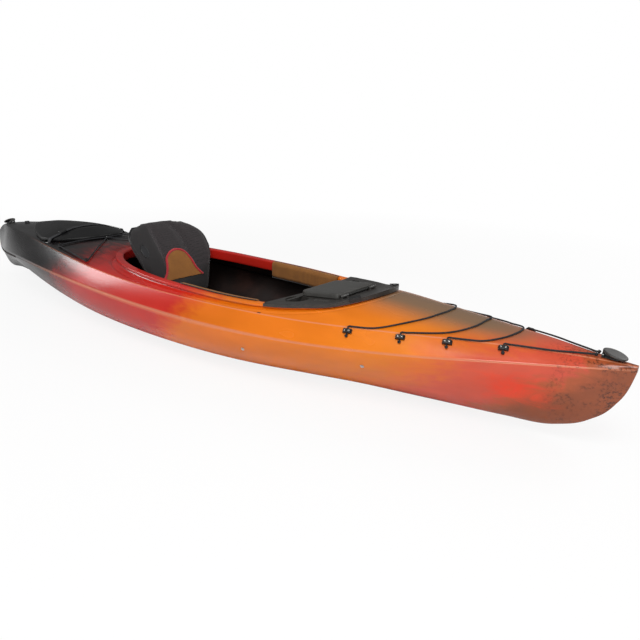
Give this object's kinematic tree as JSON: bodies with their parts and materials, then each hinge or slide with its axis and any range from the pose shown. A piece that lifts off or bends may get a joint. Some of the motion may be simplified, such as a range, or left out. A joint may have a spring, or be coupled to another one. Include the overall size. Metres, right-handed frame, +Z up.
{
  "type": "sit-in kayak",
  "caption": "Recreational sit-in kayak: moulded hull and deck, padded seat, clip-on cockpit tray with lidded box, sliding foot pegs, stern hatch, swinging carry handles and deck shock cord.",
  "frame": {"origin": "middle of the keel flat that the kayak rests on, at the middle of its length and its centre line", "axes": "+X towards the bow, +Y to port (the paddler's left), +Z up"},
  "size_m": [3.81, 0.787, 0.488],
  "materials": {
    "shell_plastic": "glossy rotomoulded polyethylene, marbled from black at the stern through red to orange",
    "black_plastic": "moulded, fine grain",
    "grey_plastic": "moulded, satin",
    "rubber": "closed-cell, dull",
    "webbing": "woven polypropylene",
    "foam": "closed-cell foam, dull",
    "stainless_steel": "satin",
    "shock_cord": "braided sheath",
    "black_fabric": "coated fabric and spacer mesh over foam",
    "tan_fabric": "woven polyester over foam"
  },
  "bodies": {
    "hull_body": {"hull": "shell_plastic", "deck": "shell_plastic", "stern_bulkhead": "foam", "bow_cleat_1_left": "black_plastic", "bow_cleat_1_right": "black_plastic", "bow_cleat_2_left": "black_plastic", "bow_cleat_2_right": "black_plastic", "bow_cleat_3_left": "black_plastic", "bow_cleat_3_right": "black_plastic", "bow_cleat_4_left": "black_plastic", "bow_cleat_4_right": "black_plastic", "bow_cord_1": "shock_cord", "bow_cord_2": "shock_cord", "bow_cord_3": "shock_cord", "bow_tie_left": "shock_cord", "bow_tie_right": "shock_cord", "stern_cord": "shock_cord", "stern_cord_link": "stainless_steel", "stern_post_front_left": "black_plastic", "stern_post_front_right": "black_plastic", "stern_post_rear_left": "black_plastic", "stern_post_rear_right": "black_plastic", "bow_handle_base": "grey_plastic", "bow_handle_pin": "stainless_steel", "stern_handle_base": "grey_plastic", "stern_handle_pin": "stainless_steel", "seat_frame": "black_plastic", "seat_cushion": "black_fabric", "seat_back_rod": "stainless_steel", "thigh_pad_left": "tan_fabric", "thigh_pad_right": "tan_fabric", "foot_rail_left": "black_plastic", "foot_rail_right": "black_plastic", "rail_screw_rear_left": "stainless_steel", "rail_screw_rear_right": "stainless_steel", "rail_screw_front_left": "stainless_steel", "rail_screw_front_right": "stainless_steel"},
    "work_deck_body": {"work_deck": "grey_plastic", "lid_pin": "stainless_steel", "cup_bar_left": "stainless_steel", "cup_bar_right": "stainless_steel", "work_deck_clip_left": "black_plastic", "work_deck_clip_right": "black_plastic"},
    "lid_body": {"work_deck_lid": "grey_plastic"},
    "latch_body": {"lid_latch": "black_plastic"},
    "hatch_body": {"hatch_cover": "black_plastic", "hatch_gasket": "rubber", "hatch_strap": "webbing", "hatch_buckle": "black_plastic"},
    "bow_grip_body": {"bow_handle_grip": "grey_plastic"},
    "stern_grip_body": {"stern_handle_grip": "grey_plastic"},
    "seat_back_body": {"seat_back_frame": "black_plastic", "seat_back_pad": "black_fabric", "seat_back_panel": "tan_fabric", "seat_buckle_left": "black_plastic", "seat_buckle_right": "black_plastic"},
    "peg_left_body": {"foot_peg_left": "black_plastic"},
    "peg_right_body": {"foot_peg_right": "black_plastic"},
    "plug_body": {"drain_plug": "black_plastic"}
  },
  "joints": [
    {"name": "work_deck_lift", "type": "slide", "parent": "hull_body", "child": "work_deck_body", "axis": [0, 0, 1], "range_m": [0, 0.12]},
    {"name": "lid_hinge", "type": "hinge", "parent": "work_deck_body", "child": "lid_body", "pos_m": [0.8788, 0, 0.35447], "axis": [0, 1, 0], "range_deg": [0, 100]},
    {"name": "lid_latch_turn", "type": "hinge", "parent": "work_deck_body", "child": "latch_body", "pos_m": [0.66954, 0, 0.32648], "axis": [-0.0987, 0, 0.9951], "range_deg": [0, 90]},
    {"name": "hatch_lift", "type": "slide", "parent": "hull_body", "child": "hatch_body", "axis": [0, 0, 1], "range_m": [0, 0.35]},
    {"name": "bow_handle_swing", "type": "hinge", "parent": "hull_body", "child": "bow_grip_body", "pos_m": [1.80357, 0, 0.32508], "axis": [0, -1, 0], "range_deg": [0, 75]},
    {"name": "stern_handle_swing", "type": "hinge", "parent": "hull_body", "child": "stern_grip_body", "pos_m": [-1.73708, 0, 0.3311], "axis": [0, 1, 0], "range_deg": [0, 75]},
    {"name": "seat_back_recline", "type": "hinge", "parent": "hull_body", "child": "seat_back_body", "pos_m": [-0.165, 0, 0.112], "axis": [0, 1, 0], "range_deg": [-8, 50]},
    {"name": "foot_peg_left_slide", "type": "slide", "parent": "hull_body", "child": "peg_left_body", "axis": [0.979, -0.1959, 0.0571], "range_m": [-0.18, 0.18]},
    {"name": "foot_peg_right_slide", "type": "slide", "parent": "hull_body", "child": "peg_right_body", "axis": [0.979, 0.1959, 0.0571], "range_m": [-0.18, 0.18]},
    {"name": "drain_plug_turn", "type": "hinge", "parent": "hull_body", "child": "plug_body", "pos_m": [-1.56, 0, 0.34026], "axis": [0, 0, 1], "range_deg": [0, 270]}
  ]
}
